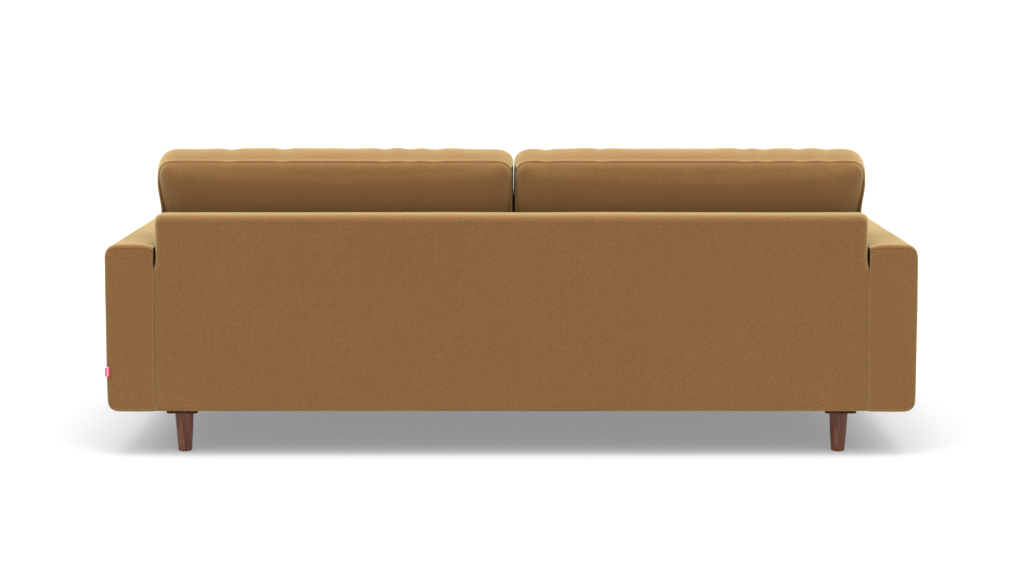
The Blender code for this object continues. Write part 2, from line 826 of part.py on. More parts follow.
def main():
    timber = principled("Frame timber", (0.62, 0.45, 0.27), 0.7)
    walnut = principled("Walnut", (0.13, 0.056, 0.036), 0.4)
    steel = principled("Zinc-plated steel", (0.55, 0.55, 0.53), 0.35, 1.0)
    nylon = principled("Glide nylon", (0.03, 0.025, 0.02), 0.6)
    fabric = principled("Mustard velvet", (0.30, 0.14, 0.045), 0.9)
    webbing = principled("Elastic webbing", (0.05, 0.05, 0.05), 0.85)
    nylon = principled("Clip strip", (0.75, 0.75, 0.70), 0.5)
    deck_cloth = principled("Deck cloth", (0.06, 0.05, 0.04), 0.9)
    dust_cloth = principled("Dust cloth", (0.02, 0.02, 0.02), 0.95)
    pink = principled("Tag cloth", (0.78, 0.12, 0.25), 0.8)
    cushion_materials = {
        "fabric": fabric,
        "foam": principled("Cushion foam", (0.85, 0.80, 0.62), 0.9),
        "tape": principled("Zip tape", (0.20, 0.10, 0.035), 0.7),
        "zip_metal": principled("Zip slider", (0.35, 0.26, 0.12), 0.35, 1.0),
    }
    make_base_frame(timber)
    make_corner_blocks(timber)
    make_feet(walnut, steel, nylon)
    for side, sign in SIDES:
        make_arm(side, sign, timber, fabric)
    make_back(timber, webbing, fabric)
    make_front_border(fabric)
    make_springs(steel)
    make_spring_clips(nylon)
    make_platform_cloths(deck_cloth, dust_cloth)
    make_tag(pink)
    make_cushions(cushion_materials)
    shade_round_pieces()


clear_scene()
PARTS = new_collection("Sofa with wooden legs")
CUTTERS = new_collection("Cutters")
main()
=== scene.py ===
"""The looks of a sofa with wooden legs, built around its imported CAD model.

Metres, +Z up. The sofa's front faces -Y and the camera stands behind it, at +Y.
"""

import json
import math

import bmesh
import bpy
import numpy as np
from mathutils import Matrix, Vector, noise


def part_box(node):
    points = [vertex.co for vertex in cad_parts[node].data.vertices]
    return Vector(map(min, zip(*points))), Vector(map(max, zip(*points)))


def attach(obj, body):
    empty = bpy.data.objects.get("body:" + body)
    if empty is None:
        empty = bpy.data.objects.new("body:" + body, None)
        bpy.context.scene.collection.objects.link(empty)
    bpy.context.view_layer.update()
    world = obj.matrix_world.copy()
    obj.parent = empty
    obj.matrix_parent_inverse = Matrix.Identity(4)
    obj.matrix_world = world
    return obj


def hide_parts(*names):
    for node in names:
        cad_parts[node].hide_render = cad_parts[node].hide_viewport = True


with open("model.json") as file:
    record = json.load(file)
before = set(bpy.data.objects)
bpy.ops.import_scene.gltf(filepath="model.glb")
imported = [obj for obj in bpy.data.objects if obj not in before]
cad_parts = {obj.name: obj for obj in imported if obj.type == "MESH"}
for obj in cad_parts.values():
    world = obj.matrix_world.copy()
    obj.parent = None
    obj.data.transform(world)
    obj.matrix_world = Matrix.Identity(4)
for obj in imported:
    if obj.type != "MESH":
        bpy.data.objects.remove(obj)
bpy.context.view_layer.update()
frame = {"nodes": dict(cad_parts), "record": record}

# Each side with the sign of its x; shapes are worked out for +X and mirrored by it
SIDES = (("left", 1), ("right", -1))
ENDS = ("front", "rear")

# The tag stands out sideways from the left arm's rear edge
TAG_ROOT = 1.1625
TAG_TIP = 1.1770

# Camera behind the sofa, looking along -Y and a little down
CAMERA_PLACE = (-0.0016, 5.857, 1.335)
CAMERA_PITCH = math.radians(8.77)
CAMERA_LENS = 66.77

# Studio: an even sky, broad soft lights (name, strength, spread, tilts towards +Y and +X) and a pale floor
SKY = 1.0
LIGHTS = (
    ("key_left", 1.95, 48, 17, 33),
    ("key_right", 1.95, 48, 17, -33),
    ("overhead", 2.45, 38, 6, 0),
)
FLOOR_HALF = 600.0
FLOOR_WHITE = 0.330
FLOOR_GLOW = 0.262

# Arms: wider below than above, and slit from the back frame near the top, where grid lines are added
ARM_FLARE = 0.0062
ARM_CROWN = 0.0035
SLIT_BOTTOM = 0.552
SLIT_OPENING = 0.0042
SLIT_LINES = np.array((-0.006, 0.0, 0.007, 0.016))
JOINT_FLARE = 0.0110

# Back frame: where its inside face starts, and how thick it is at the top
BACK_FOOT_Z = 0.300
BACK_THICKNESS = 0.083

# Grid steps of the covers
PANEL_STEP = 0.020
CUSHION_STEP = 0.014
SEAT_STEP = 0.018

# Cloth simulation, and how far it may move the fronts and the backs of the cushions
SIM_FRAMES = 20
SIM_PRESSURE = 4.0
SIM_CAP = 0.010
REAR_CAP = 0.003

# Seams are sunk by a depth, and the edges beside them stand up by a share of it
SEAM_DEPTH = 0.0016
CUSHION_SEAM_DEPTH = 0.0026
LIP_SHARE = 0.30

# Walls of the covers that are open where nothing shows
ARM_WALL = 0.005
BACK_WALL = 0.004


# Node materials


class Nodes:
    """A short way to write a node material."""

    def __init__(self, name):
        self.material = bpy.data.materials.new(name)
        self.material.use_nodes = True
        self.tree = self.material.node_tree
        self.shader = self.tree.nodes["Principled BSDF"]
        self.place = self.add("ShaderNodeTexCoord").outputs["Object"]

    def add(self, kind, **settings):
        node = self.tree.nodes.new(kind)
        for key, value in settings.items():
            setattr(node, key, value)
        return node

    def join(self, source, target):
        self.tree.links.new(source, target)

    def put(self, socket, value):
        """Sets a socket to a number or links it to another node's output."""
        if isinstance(value, bpy.types.NodeSocket):
            self.join(value, socket)
        else:
            socket.default_value = value

    def stretched(self, scale):
        mapping = self.add("ShaderNodeMapping")
        mapping.inputs["Scale"].default_value = scale
        self.join(self.place, mapping.inputs["Vector"])
        return mapping.outputs["Vector"]

    def noise(self, scale, detail=2.0, roughness=0.5, stretch=None):
        node = self.add("ShaderNodeTexNoise")
        node.inputs["Scale"].default_value = scale
        node.inputs["Detail"].default_value = detail
        node.inputs["Roughness"].default_value = roughness
        self.join(self.stretched(stretch) if stretch else self.place, node.inputs["Vector"])
        return node.outputs["Fac"]

    def ramp(self, value, *stops):
        node = self.add("ShaderNodeValToRGB")
        elements = node.color_ramp.elements
        while len(elements) < len(stops):
            elements.new(0.5)
        for element, (position, colour) in zip(elements, stops):
            element.position = position
            element.color = (*colour, 1.0)
        self.join(value, node.inputs["Fac"])
        return node.outputs["Color"]

    def spread(self, value, low, high, low_in=0.3, high_in=0.7):
        node = self.add("ShaderNodeMapRange")
        node.inputs["From Min"].default_value = low_in
        node.inputs["From Max"].default_value = high_in
        node.inputs["To Min"].default_value = low
        node.inputs["To Max"].default_value = high
        self.join(value, node.inputs["Value"])
        return node.outputs["Result"]

    def maths(self, operation, first, second):
        node = self.add("ShaderNodeMath", operation=operation)
        self.put(node.inputs[0], first)
        self.put(node.inputs[1], second)
        return node.outputs["Value"]

    def mix(self, amount, first, second, blend="MIX"):
        node = self.add("ShaderNodeMix", data_type="RGBA", blend_type=blend)
        self.put(node.inputs[0], amount)
        self.put(node.inputs[6], (*first, 1.0) if isinstance(first, tuple) else first)
        self.put(node.inputs[7], (*second, 1.0) if isinstance(second, tuple) else second)
        return node.outputs[2]

    def attribute(self, name):
        return self.add("ShaderNodeAttribute", attribute_name=name).outputs["Fac"]

    def bump(self, height, strength, distance):
        node = self.add("ShaderNodeBump")
        node.inputs["Strength"].default_value = strength
        node.inputs["Distance"].default_value = distance
        self.join(height, node.inputs["Height"])
        self.join(node.outputs["Normal"], self.shader.inputs["Normal"])

    def finish(self, colour, roughness, **fixed):
        self.put(self.shader.inputs["Base Color"], colour)
        self.put(self.shader.inputs["Roughness"], roughness)
        for key, value in fixed.items():
            self.shader.inputs[key.replace("_", " ").title()].default_value = value
        return self.material


def velvet(name="camel_velvet", sheen=0.585, shade=0.0):
    """Camel velvet: flecked pile, faint upright slubs, brushed patches.

    Its `seam` attribute is above 0 in the seams, which are dark as sewn joints and with painted shade in
    their grooves, and below 0 along the edges beside them, which get a painted highlight in place of
    light catching their rounded edges. A shade above 0 darkens all of it: painted shade for faces in gaps.
    """
    n = Nodes(name)
    flecks = n.noise(340, 2, 0.8)
    grain = n.noise(900, 2, 0.6)
    patches = n.noise(5.5, 3, 0.55)
    slubs = n.noise(1.0, 2, 0.6, stretch=(95, 95, 5))
    base = n.ramp(
        flecks,
        (0.30, (0.083, 0.029, 0.006)),
        (0.50, (0.127, 0.048, 0.011)),
        (0.70, (0.184, 0.077, 0.022)),
    )
    base = n.mix(n.spread(patches, 0.0, 0.30), base, (0.110, 0.040, 0.009))
    base = n.mix(n.spread(slubs, 0.0, 0.20), base, (0.156, 0.063, 0.016))
    # Painted highlight: the edges beside the seams, where `seam` is below 0, are lightened
    painted_edge_highlight = n.maths("POWER", n.maths("MAXIMUM", n.maths("MULTIPLY", n.attribute("seam"), -1.0), 0.0), 1.8)
    base = n.mix(n.maths("MULTIPLY", painted_edge_highlight, 0.58), base, (0.310, 0.185, 0.080))
    # Seams darkened, as sewn joints and as painted shade in their grooves
    seam = n.maths("POWER", n.maths("MAXIMUM", n.attribute("seam"), 0.0), 1.3)
    base = n.mix(n.maths("MULTIPLY", seam, 0.85), base, (0.040, 0.015, 0.005))
    # Painted shade: shade darkens the whole velvet, for faces down in gaps
    if shade:
        base = n.mix(shade, base, (0.012, 0.005, 0.002))
    height = n.maths("ADD", n.maths("MULTIPLY", flecks, 0.6), n.maths("MULTIPLY", grain, 0.4))
    n.bump(height, 0.40, 0.0008)
    rough = n.spread(patches, 0.82, 0.95)
    n.shader.inputs["Specular IOR Level"].default_value = 0.10
    gold = (1.0, 0.88, 0.46, 1.0)
    return n.finish(base, rough, sheen_weight=sheen, sheen_roughness=0.60, sheen_tint=gold)


def walnut(name="oiled_walnut", shade=0.0, gloss=0.25):
    """Oiled walnut with its grain along the leg."""
    n = Nodes(name)
    figure = n.noise(1.0, 5, 0.62, stretch=(70, 70, 6))
    fibres = n.noise(1.0, 3, 0.7, stretch=(520, 520, 22))
    base = n.ramp(
        figure,
        (0.28, (0.042, 0.012, 0.006)),
        (0.50, (0.132, 0.045, 0.023)),
        (0.72, (0.225, 0.086, 0.047)),
    )
    base = n.mix(n.spread(fibres, 0.0, 0.60, 0.45, 0.75), base, (0.035, 0.014, 0.010))
    streaks = n.noise(1.0, 2, 0.5, stretch=(230, 230, 14))
    base = n.mix(n.spread(streaks, 0.0, 0.45, 0.52, 0.72), base, (0.235, 0.102, 0.066))
    # Painted shade: shade darkens the whole wood, for the plates under the body
    if shade:
        base = n.mix(shade, base, (0.020, 0.008, 0.003))
    n.bump(fibres, 0.25, 0.0004)
    rough = n.spread(fibres, 0.34, 0.50)
    n.shader.inputs["Specular IOR Level"].default_value = gloss
    return n.finish(base, rough, coat_weight=0.2 * gloss, coat_roughness=0.35)


def timber():
    """Pale kiln-dried softwood with saw marks."""
    n = Nodes("frame_softwood")
    rings = n.noise(1.0, 4, 0.6, stretch=(5, 60, 60))
    fibres = n.noise(1.0, 2, 0.7, stretch=(12, 420, 420))
    base = n.ramp(rings, (0.30, (0.50, 0.33, 0.17)), (0.70, (0.72, 0.54, 0.33)))
    n.bump(fibres, 0.3, 0.0006)
    return n.finish(base, n.spread(fibres, 0.60, 0.80))


def woven(name, dark, light, threads, strength=0.5, tint=0.0):
    """A plain cloth with crossing threads."""
    n = Nodes(name)
    warp = n.add("ShaderNodeTexWave", wave_type="BANDS", bands_direction="X")
    weft = n.add("ShaderNodeTexWave", wave_type="BANDS", bands_direction="Y")
    for wave in (warp, weft):
        wave.inputs["Scale"].default_value = threads
        wave.inputs["Distortion"].default_value = 0.6
        wave.inputs["Detail Scale"].default_value = 3.0
        n.join(n.place, wave.inputs["Vector"])
    weave = n.maths("MULTIPLY", warp.outputs["Fac"], weft.outputs["Fac"])
    patches = n.noise(9, 3, 0.6)
    base = n.mix(weave, dark, light)
    base = n.mix(n.spread(patches, 0.0, 0.3), base, dark)
    n.bump(weave, strength, 0.0004)
    return n.finish(base, n.spread(patches, 0.80, 0.95), sheen_weight=tint)


def nonwoven():
    """Black spunbond cloth: pressed dots over matted fibres."""
    n = Nodes("black_dust_cloth")
    dots = n.add("ShaderNodeTexVoronoi")
    dots.inputs["Scale"].default_value = 420
    n.join(n.place, dots.inputs["Vector"])
    fibres = n.noise(260, 4, 0.7)
    height = n.maths("MULTIPLY", dots.outputs["Distance"], fibres)
    base = n.ramp(fibres, (0.30, (0.010, 0.010, 0.011)), (0.75, (0.040, 0.040, 0.042)))
    n.bump(height, 0.4, 0.0004)
    return n.finish(base, n.spread(fibres, 0.75, 0.95), sheen_weight=0.1)


def foam():
    """Cream seat foam with open cells."""
    n = Nodes("cream_foam")
    cells = n.noise(900, 3, 0.8)
    age = n.noise(6, 3, 0.5)
    base = n.ramp(age, (0.3, (0.66, 0.56, 0.33)), (0.7, (0.80, 0.72, 0.48)))
    n.bump(cells, 0.6, 0.0006)
    return n.finish(base, n.spread(cells, 0.85, 0.98))


def metal(name, dark, light, low_rough, high_rough):
    """Drawn or cast metal with fine wear."""
    n = Nodes(name)
    wear = n.noise(160, 4, 0.7)
    base = n.ramp(wear, (0.35, dark), (0.70, light))
    n.bump(wear, 0.12, 0.0003)
    return n.finish(base, n.spread(wear, low_rough, high_rough), metallic=1.0)


def moulded(name, dark, light):
    """Moulded plastic with a faint grain and scuffs."""
    n = Nodes(name)
    grain = n.noise(700, 2, 0.6)
    scuffs = n.noise(60, 4, 0.7)
    base = n.ramp(scuffs, (0.35, dark), (0.70, light))
    n.bump(grain, 0.15, 0.0003)
    return n.finish(base, n.spread(scuffs, 0.45, 0.65))


def zip_tape():
    """Brown zip tape, its coil drawn as close ribs across the raised middle."""
    n = Nodes("brown_zip_tape")
    ribs = n.add("ShaderNodeTexWave", wave_type="BANDS", bands_direction="X")
    ribs.inputs["Scale"].default_value = 180
    n.join(n.place, ribs.inputs["Vector"])
    fibres = n.noise(900, 2, 0.6)
    base = n.mix(ribs.outputs["Fac"], (0.060, 0.028, 0.010), (0.190, 0.095, 0.035))
    base = n.mix(n.spread(fibres, 0.0, 0.3), base, (0.10, 0.05, 0.02))
    n.bump(ribs.outputs["Fac"], 0.8, 0.0006)
    return n.finish(base, n.spread(fibres, 0.55, 0.75))


def tag_cloth():
    """Pink woven satin with a plain row of white stitches up its middle."""
    n = Nodes("pink_tag")
    place = n.add("ShaderNodeSeparateXYZ")
    n.join(n.place, place.inputs["Vector"])
    away = n.maths("ABSOLUTE", n.maths("SUBTRACT", place.outputs["X"], (TAG_ROOT + TAG_TIP) / 2), 0.0)
    column = n.maths("LESS_THAN", away, 0.0013)
    up_and_down = n.maths("SINE", n.maths("MULTIPLY", place.outputs["Z"], 1250.0), 0.0)
    dashes = n.maths("GREATER_THAN", up_and_down, -0.2)
    threads = n.noise(1.0, 2, 0.6, stretch=(300, 300, 2400))
    base = n.ramp(threads, (0.3, (0.52, 0.042, 0.105)), (0.7, (0.68, 0.095, 0.180)))
    # Painted shade: the tag is darker next to its root, where it goes into the arm's seam
    edge = n.maths("LESS_THAN", place.outputs["X"], TAG_ROOT + 0.0028)
    base = n.mix(edge, base, (0.38, 0.018, 0.050))
    base = n.mix(n.maths("MULTIPLY", n.maths("MULTIPLY", column, dashes), 0.75), base, (0.90, 0.70, 0.74))
    n.bump(threads, 0.4, 0.0003)
    return n.finish(base, n.spread(threads, 0.40, 0.60), sheen_weight=0.2)


def make_materials():
    return {
        "velvet": velvet(),
        # Painted shade: a darker velvet with almost no sheen, for faces in the gaps between parts
        "velvet_gap_shade": velvet("velvet_gap_shade", sheen=0.05, shade=0.60),
        "walnut": walnut(),
        # Painted shade: a darker walnut for the plates, which sit in shade under the body
        "walnut_plate_shaded": walnut("walnut_plate_shaded", shade=0.6, gloss=0.04),
        "frame_timber": timber(),
        "foam": foam(),
        "webbing": woven("black_webbing", (0.012, 0.012, 0.013), (0.06, 0.06, 0.065), 120),
        "deck_cloth": woven("deck_cloth", (0.030, 0.022, 0.016), (0.085, 0.066, 0.050), 150, tint=0.1),
        "dust_cloth": nonwoven(),
        "zip_tape": zip_tape(),
        "zip_metal": metal("antique_brass", (0.16, 0.10, 0.04), (0.42, 0.30, 0.14), 0.30, 0.50),
        "zinc_steel": metal("zinc_plate", (0.42, 0.42, 0.40), (0.64, 0.64, 0.61), 0.28, 0.45),
        "spring_steel": metal("spring_wire", (0.16, 0.16, 0.16), (0.42, 0.42, 0.42), 0.35, 0.55),
        "glide_nylon": moulded("dark_glide", (0.014, 0.011, 0.009), (0.045, 0.036, 0.030)),
        "clip_strip": moulded("pale_clip_strip", (0.56, 0.55, 0.50), (0.74, 0.73, 0.67)),
        "tag_cloth": tag_cloth(),
    }


# Upholstered forms


def stops(length, zone, step, extra=()):
    """Shares of a length for its grid lines: close together through both end zones, and at extra places."""
    ramp = np.array([0, 0.07, 0.18, 0.36, 0.64]) * zone
    count = max(2, round((length - 2 * zone) / step) + 1)
    lines = np.concatenate([ramp, np.linspace(zone, length - zone, count), length - ramp[::-1]])
    extra = np.array(extra, float)
    if len(extra):
        clear = np.abs(lines[:, None] - extra[None, :]).min(axis=1) > 0.4 * step
        clear[[0, -1]] = True
        lines = np.sort(np.concatenate([lines[clear], extra]))
    return lines / length


def panel(rect, corners, edges, us, vs):
    """A flat rounded panel inside rect, set in by its edges.

    Gives its points, which way is out at each, and how far each is from the border.
    """
    u0, u1, v0, v1 = rect
    left, right, bottom, top = edges
    low = np.array((u0 + left, v0 + bottom))
    high = np.array((u1 - right, v1 - top))
    grid = np.stack(np.meshgrid(us, vs, indexing="ij"), axis=-1).reshape(-1, 2)
    points = low + grid * (high - low)
    after = grid > 0.5
    radius = np.array(corners)[np.where(after[:, 1], 3 - after[:, 0], 1 * after[:, 0])][:, None]
    nearest = np.clip(points, low + radius, high - radius)
    out = points - nearest
    reach = np.abs(out).max(axis=1, keepdims=True)
    length = np.maximum(np.linalg.norm(out, axis=1, keepdims=True), 1e-9)
    found = nearest + out * reach / length
    middle, half = (low + high) / 2, (high - low) / 2
    beyond = np.abs(found - middle) - (half - radius)
    past = np.linalg.norm(np.maximum(beyond, 0), axis=1) + np.minimum(beyond.max(axis=1), 0)
    return found, out / length, np.maximum(radius[:, 0] - past, 0)


def loop_of(nu, nv):
    """The panel's border, anticlockwise, as indices of its grid."""
    border = [(i, 0) for i in range(nu)]
    border += [(nu - 1, j) for j in range(1, nv)]
    border += [(i, nv - 1) for i in range(nu - 2, -1, -1)]
    border += [(0, j) for j in range(nv - 2, 0, -1)]
    return np.array([i * nv + j for i, j in border])


class Loaf:
    """Two rounded panels joined by a band, as most upholstery is cut.

    Points are (u, v, w). The first panel is at the high end of w. `place` is 0 on the first
    panel, 1 on the last and between them along the band; `out` is the band's outward direction.
    `seam` is 1 on the panels' borders and falls to -1 over the rounded edges beside them.
    """

    def __init__(self, rect, depth, corners, edges, us, vs, band, arc=4, last_edges=None):
        last_edges = last_edges or edges
        nu, nv = len(us), len(vs)
        loop = loop_of(nu, nv)
        w0, w1 = depth
        points, place, out, seam = [], [], [], []

        def add(uv, w, where, away, weight):
            points.append(np.column_stack([uv, np.broadcast_to(w, len(uv))]))
            place.append(np.broadcast_to(where, len(uv)))
            out.append(away)
            seam.append(np.broadcast_to(weight, len(uv)))

        def edge_radius(normal, widths):
            left, right, bottom, top = widths
            across = np.where(normal[:, 0] > 0, right, left)
            along = np.where(normal[:, 1] > 0, top, bottom)
            return normal[:, 0] ** 2 * across + normal[:, 1] ** 2 * along

        def arcs(border, normal, widths, w, sign):
            radius = edge_radius(normal, widths)
            for k in range(1, arc + 1):
                turn = math.pi / 2 * k / arc
                uv = border + normal * (radius * math.sin(turn))[:, None]
                yield uv, w - sign * radius * (1 - math.cos(turn))

        first, first_normal, inset = panel(rect, corners, edges, us, vs)
        last, last_normal, last_inset = panel(rect, corners, last_edges, us, vs)
        on_border = np.zeros(nu * nv)
        on_border[loop] = 1.0
        still = np.zeros((nu * nv, 2))
        add(first, w1, 0.0, still, on_border)
        top_rings = list(arcs(first[loop], first_normal[loop], edges, w1, 1))
        low_rings = list(arcs(last[loop], last_normal[loop], last_edges, w0, -1))
        normal = first_normal[loop]
        for k, (uv, w) in enumerate(top_rings):
            add(uv, w, 0.0, normal, -(k + 1) / arc)
        for share in band:
            uv = top_rings[-1][0] * (1 - share) + low_rings[-1][0] * share
            w = top_rings[-1][1] * (1 - share) + low_rings[-1][1] * share
            add(uv, w, share, normal, 0.0)
        for k, (uv, w) in enumerate(reversed(low_rings)):
            add(uv, w, 1.0, normal, (k - arc) / arc)
        add(last, w0, 1.0, still, on_border)

        self.points = np.concatenate(points)
        self.place = np.concatenate(place)
        self.out = np.concatenate(out)
        self.seam = np.concatenate(seam)
        self.on_band = np.zeros(len(self.points), bool)
        rings = 2 * arc + len(band)
        count = len(loop)
        self.on_band[nu * nv : nu * nv + rings * count] = True
        self.on_last = np.zeros(len(self.points), bool)
        self.on_last[-nu * nv :] = True
        self.inset = np.concatenate([inset, np.zeros(rings * count), last_inset])
        self.faces = self._faces(nu, nv, loop, rings)

    @staticmethod
    def _faces(nu, nv, loop, rings):
        count = len(loop)
        start_last = nu * nv + rings * count
        faces = []
        for i in range(nu - 1):
            for j in range(nv - 1):
                a, b, c, d = i * nv + j, (i + 1) * nv + j, (i + 1) * nv + j + 1, i * nv + j + 1
                faces.append((a, b, c, d))
                faces.append((start_last + d, start_last + c, start_last + b, start_last + a))
        rows = [list(loop)]
        rows += [list(range(nu * nv + r * count, nu * nv + (r + 1) * count)) for r in range(rings)]
        rows.append([start_last + i for i in loop])
        for upper, lower in zip(rows, rows[1:]):
            for m in range(count):
                n = (m + 1) % count
                faces.append((upper[m], lower[m], lower[n], upper[n]))
        return faces


def link(name, data):
    obj = bpy.data.objects.new(name, data)
    bpy.context.scene.collection.objects.link(obj)
    return obj


def mesh_object(name, points, faces, material, seam=None):
    mesh = bpy.data.meshes.new(name)
    mesh.from_pydata([tuple(p) for p in points], [], [tuple(f) for f in faces])
    if seam is not None:
        values = mesh.attributes.new("seam", "FLOAT", "POINT")
        values.data.foreach_set("value", np.asarray(seam, np.float32))
    shape = bmesh.new()
    shape.from_mesh(mesh)
    bmesh.ops.recalc_face_normals(shape, faces=shape.faces)
    shape.to_mesh(mesh)
    shape.free()
    mesh.materials.append(material)
    mesh.shade_smooth()
    return link(name, mesh)


def points_of(obj, kind="co"):
    """Its points or, with "normal" as their kind, the normals there."""
    values = np.empty(len(obj.data.vertices) * 3, np.float32)
    obj.data.vertices.foreach_get(kind, values)
    return values.reshape(-1, 3).astype(float)


def set_points(obj, points):
    obj.data.vertices.foreach_set("co", np.asarray(points, np.float32).ravel())
    obj.data.update()


def ripple(points, scale, amount, seed):
    """Smooth noise at each point, from -amount to amount."""
    shift = Vector((seed * 7.3, seed * 3.1, seed * 5.7))
    return np.array([amount * noise.noise(Vector(p * scale) + shift) for p in points])


def roughen(obj, scale, amount, seed):
    points = points_of(obj)
    moved = points_of(obj, "normal") * ripple(points, scale, amount, seed)[:, None]
    set_points(obj, points + moved)


def sink_seams(obj, depth):
    """Presses the seams in, and lets the edges beside them stand up a little."""
    seam = np.empty(len(obj.data.vertices), np.float32)
    obj.data.attributes["seam"].data.foreach_get("value", seam)
    sunk = depth * np.where(seam > 0, seam, LIP_SHARE * seam)
    set_points(obj, points_of(obj) - points_of(obj, "normal") * sunk[:, None])


def remove_faces_where(obj, test):
    """Deletes the faces whose middle passes the test."""
    shape = bmesh.new()
    shape.from_mesh(obj.data)
    gone = [face for face in shape.faces if test(face.calc_center_median(), face.normal)]
    bmesh.ops.delete(shape, geom=gone, context="FACES")
    shape.to_mesh(obj.data)
    shape.free()


def shade_gap(obj, material, test):
    """Gives the faces that pass the test a second material."""
    # The second material is the darker velvet that paints shade in gaps
    obj.data.materials.append(material)
    for face in obj.data.polygons:
        if test(face.center, face.normal):
            face.material_index = 1


def apply_modifiers(obj):
    graph = bpy.context.evaluated_depsgraph_get()
    mesh = bpy.data.meshes.new_from_object(obj.evaluated_get(graph))
    obj.modifiers.clear()
    obj.data = mesh
    mesh.shade_smooth()


def subdivide_and_wall(obj, wall=0.0, levels=1):
    """Smooths the cover and, where it is open, gives it a wall on the inside."""
    smooth = obj.modifiers.new("Smooth", "SUBSURF")
    smooth.levels = levels
    smooth.render_levels = levels
    if wall:
        solid = obj.modifiers.new("Wall", "SOLIDIFY")
        solid.thickness = wall
        solid.offset = -1
    apply_modifiers(obj)


def smoothstep(x):
    x = np.clip(x, 0.0, 1.0)
    return x * x * (3 - 2 * x)


def joint_flare(z, y):
    """How far the rear joint of arm and back frame stands out below the slit."""
    return JOINT_FLARE * np.clip((SLIT_BOTTOM - z) / 0.42, 0, 1) * smoothstep((y - 0.415) / 0.025)


def make_arm(side, sign, materials):
    """Rear and front panels seamed into a band that runs up one side, over the top and down."""
    name = f"arm_cover_{side}"
    low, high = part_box(name)
    inner, outer = sorted((abs(low.x), abs(high.x)))
    width = outer - inner
    height = high.z - low.z
    loaf = Loaf(
        (inner, outer, low.z, high.z),
        (low.y, high.y),
        corners=(0.002, 0.024, 0.022, 0.008),
        edges=(0.0016, 0.0070, 0.006, 0.012),
        us=stops(width, 0.030, PANEL_STEP),
        vs=stops(height, 0.034, PANEL_STEP, SLIT_BOTTOM - low.z + SLIT_LINES),
        band=stops(high.y - low.y, 0.020, PANEL_STEP)[1:-1],
    )
    u, z, y = loaf.points.T
    across = np.clip((u - inner) / width, 0, 1)
    top = smoothstep((z - high.z + 0.03) / 0.03)
    z = z + ARM_CROWN * top * np.sin(math.pi * across) * loaf.on_band
    u = u + ARM_FLARE * across * np.clip((high.z - z) / height * 1.25, 0, 1)
    u = u - 0.0003 * (1 - across) + joint_flare(z, y) * (1 - across) ** 3
    back_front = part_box("back_cover")[0].y
    beside_back = smoothstep((y - back_front) / 0.05)
    above = z - SLIT_BOTTOM
    teardrop = smoothstep(above / 0.012) * (1 - 0.60 * smoothstep((above - 0.008) / 0.028))
    u = u + SLIT_OPENING * teardrop * beside_back * smoothstep((0.40 - across) / 0.40)
    crease = np.hypot(u - inner - 0.012, (high.y - y - 0.026) * 0.6) / 0.012
    z = z - 0.0045 * np.exp(-(crease**2)) * top
    puff = np.sin(math.pi * across) * np.sin(math.pi * np.clip((z - low.z) / height, 0, 1))
    y = y + np.sign(y) * 0.0020 * puff * ~loaf.on_band
    world = np.column_stack([sign * u, y, z])
    # Seam weights: dark seams with painted shade at the top and the outer edge; a painted highlight in
    # their place at the inner joint and the bottom, and on the edges beside the seams
    seam_shade_and_highlight = np.where(z > high.z - 0.020, 0.85, np.where(across > 0.5, 0.5, -0.9))
    seam_shade_and_highlight = np.where(z < low.z + 0.015, -0.9, seam_shade_and_highlight)
    seam = np.where(loaf.seam > 0, seam_shade_and_highlight, 0.75 * loaf.seam)
    arm = mesh_object(f"arm_{side}_upholstery", world, loaf.faces, materials["velvet"], seam)
    sink_seams(arm, SEAM_DEPTH)
    roughen(arm, 7.0, 0.0012, 3 + sign)
    roughen(arm, 26.0, 0.0004, 5 + sign)
    middle = sign * (inner + outer) / 2

    def open_below(centre, normal):
        clear_of_rim = abs(centre.x - middle) < 0.036 and abs(centre.y) < 0.40
        return normal.z < -0.9 and centre.z < low.z + 0.01 and clear_of_rim

    # Faces of the slit beside the back frame, which take the painted gap shade
    def in_gap(centre, normal):
        return sign * normal.x < -0.9 and centre.y > back_front + 0.03

    remove_faces_where(arm, open_below)
    shade_gap(arm, materials["velvet_gap_shade"], in_gap)
    subdivide_and_wall(arm, ARM_WALL)
    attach(arm, "root")
    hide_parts(name)


